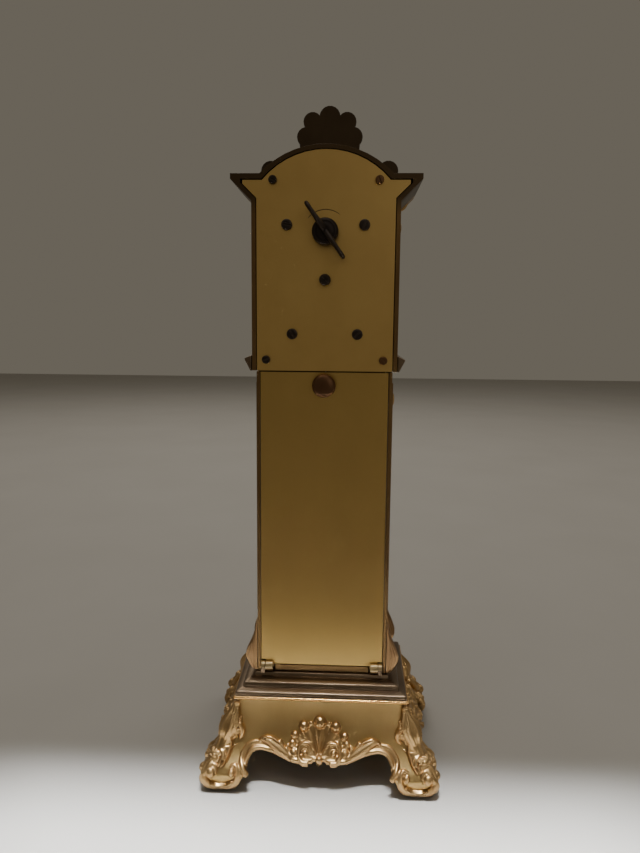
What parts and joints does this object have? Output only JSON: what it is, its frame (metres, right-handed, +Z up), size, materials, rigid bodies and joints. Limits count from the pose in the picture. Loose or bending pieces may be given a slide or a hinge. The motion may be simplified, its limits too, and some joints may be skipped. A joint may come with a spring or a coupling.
{
  "type": "anniversary clock",
  "caption": "Miniature brass longcase torsion-pendulum clock with arched hood, shell crest, drop-down rear door and scroll-footed base.",
  "frame": {"origin": "centre of the base's footprint, on the ground", "axes": "+Z up, -Y towards the dial, +Y towards the winding side, +X to the clock's own left as seen from behind"},
  "size_m": [0.1108, 0.0876, 0.3275],
  "materials": {
    "satin_brass": "brushed satin",
    "case_brass": "lacquered, darkened",
    "cast_brass": "cast, satin",
    "wheel_brass": "polished",
    "bronze": "dark patina",
    "black_steel": "blackened",
    "steel": "brushed",
    "silvered": "silvered matt",
    "hand_black": "satin black",
    "clear_glass": "clear"
  },
  "bodies": {
    "root": {"base_casting": "cast_brass", "base_moulding": "case_brass", "base_plate": "steel", "guide_cup": "wheel_brass", "trunk_case": "case_brass", "trunk_glass": "clear_glass", "trunk_window_frame": "cast_brass", "trunk_leaf_rear_left": "cast_brass", "trunk_leaf_rear_right": "cast_brass", "trunk_leaf_front_left": "cast_brass", "trunk_leaf_front_right": "cast_brass", "hinge_lug_left": "cast_brass", "hinge_lug_right": "cast_brass", "hood_case": "case_brass", "hood_back_plate": "satin_brass", "throat_moulding": "cast_brass", "hood_bezel": "cast_brass", "front_cornice": "cast_brass", "hood_glass": "clear_glass", "crest": "cast_brass", "dial_plate": "satin_brass", "chapter_ring": "silvered", "back_plate_screw_1": "black_steel", "back_plate_screw_2": "black_steel", "back_plate_screw_3": "black_steel", "back_plate_screw_4": "black_steel", "movement_screw_1": "black_steel", "movement_screw_2": "black_steel", "movement_screw_3": "black_steel", "movement_screw_4": "black_steel", "movement_front_plate": "wheel_brass", "movement_rear_plate": "wheel_brass", "suspension_saddle": "wheel_brass", "suspension_spring": "steel"},
    "door": {"rear_door": "satin_brass", "door_knob": "bronze"},
    "winding_arbor": {"barrel_arbor": "steel", "winding_key": "black_steel"},
    "click": {"click": "steel"},
    "barrel": {"barrel": "wheel_brass", "mainspring": "steel"},
    "second_wheel": {"second_wheel": "wheel_brass"},
    "third_wheel": {"third_wheel": "wheel_brass"},
    "centre_arbor": {"centre_wheel": "wheel_brass", "setting_knob": "black_steel", "minute_hand": "hand_black"},
    "fourth_wheel": {"fourth_wheel": "wheel_brass"},
    "escape_wheel": {"escape_wheel": "wheel_brass"},
    "anchor": {"anchor": "steel"},
    "minute_wheel": {"minute_wheel": "wheel_brass"},
    "hour_wheel": {"hour_wheel": "wheel_brass", "hour_hand": "hand_black"},
    "fork": {"suspension_fork": "wheel_brass"},
    "pendulum": {"pendulum_spindle": "wheel_brass", "pendulum_ball_1": "wheel_brass", "pendulum_ball_2": "wheel_brass", "pendulum_ball_3": "wheel_brass", "pendulum_ball_4": "wheel_brass"},
    "rating_disc": {"rating_disc": "wheel_brass"}
  },
  "joints": [
    {"name": "door_drop", "type": "hinge", "parent": "root", "child": "door", "pos_m": [0, 0.0203, 0.0528], "axis": [-1, 0, 0], "range_deg": [0, 100]},
    {"name": "winding_turn", "type": "hinge", "parent": "root", "child": "winding_arbor", "pos_m": [0, 0, 0.2611], "axis": [0, 1, 0], "continuous": true},
    {"name": "click_lift", "type": "hinge", "parent": "root", "child": "click", "pos_m": [-0.0086, 0, 0.2583], "axis": [0, -1, 0], "range_deg": [0, 12]},
    {"name": "centre_turn", "type": "hinge", "parent": "root", "child": "centre_arbor", "pos_m": [0, 0, 0.2402], "axis": [0, 1, 0], "continuous": true},
    {"name": "barrel_turn", "type": "hinge", "parent": "root", "child": "barrel", "pos_m": [0, 0, 0.2611], "axis": [0, 1, 0], "continuous": true},
    {"name": "second_turn", "type": "hinge", "parent": "root", "child": "second_wheel", "pos_m": [0.00955, 0, 0.25605], "axis": [0, 1, 0], "continuous": true},
    {"name": "third_turn", "type": "hinge", "parent": "root", "child": "third_wheel", "pos_m": [0.00955, 0, 0.24525], "axis": [0, 1, 0], "continuous": true},
    {"name": "fourth_turn", "type": "hinge", "parent": "root", "child": "fourth_wheel", "pos_m": [-0.0021, 0, 0.23331], "axis": [0, 1, 0], "continuous": true},
    {"name": "escape_turn", "type": "hinge", "parent": "root", "child": "escape_wheel", "pos_m": [0, 0, 0.22769], "axis": [0, 1, 0], "continuous": true},
    {"name": "minute_wheel_turn", "type": "hinge", "parent": "root", "child": "minute_wheel", "pos_m": [-0.00424, 0, 0.24444], "axis": [0, 1, 0], "continuous": true},
    {"name": "hour_turn", "type": "hinge", "parent": "root", "child": "hour_wheel", "pos_m": [0, 0, 0.2402], "axis": [0, 1, 0], "continuous": true},
    {"name": "pendulum_swing", "type": "hinge", "parent": "root", "child": "pendulum", "pos_m": [0, 0.0032, 0.1], "axis": [0, 0, 1], "range_deg": [-165, 165]},
    {"name": "fork_twist", "type": "hinge", "parent": "root", "child": "fork", "pos_m": [0, 0.0032, 0.2234], "axis": [0, 0, 1], "range_deg": [-11, 11]},
    {"name": "anchor_rock", "type": "hinge", "parent": "root", "child": "anchor", "pos_m": [0, 0, 0.21809], "axis": [0, 1, 0], "range_deg": [-5, 5]},
    {"name": "rating_turn", "type": "hinge", "parent": "pendulum", "child": "rating_disc", "pos_m": [0, 0.0032, 0.1151], "axis": [0, 0, 1], "range_deg": [-180, 180]}
  ],
  "couplings": [
    {"joint": "third_turn", "follows": "centre_turn", "ratio": -0.125},
    {"joint": "second_turn", "follows": "centre_turn", "ratio": 0.015625},
    {"joint": "barrel_turn", "follows": "centre_turn", "ratio": -0.0019531},
    {"joint": "fourth_turn", "follows": "centre_turn", "ratio": -5},
    {"joint": "escape_turn", "follows": "centre_turn", "ratio": 20},
    {"joint": "minute_wheel_turn", "follows": "centre_turn", "ratio": -0.33333},
    {"joint": "hour_turn", "follows": "centre_turn", "ratio": 0.083333},
    {"joint": "fork_twist", "follows": "pendulum_swing", "ratio": 0.0625},
    {"joint": "anchor_rock", "follows": "pendulum_swing", "ratio": 0.02567}
  ]
}
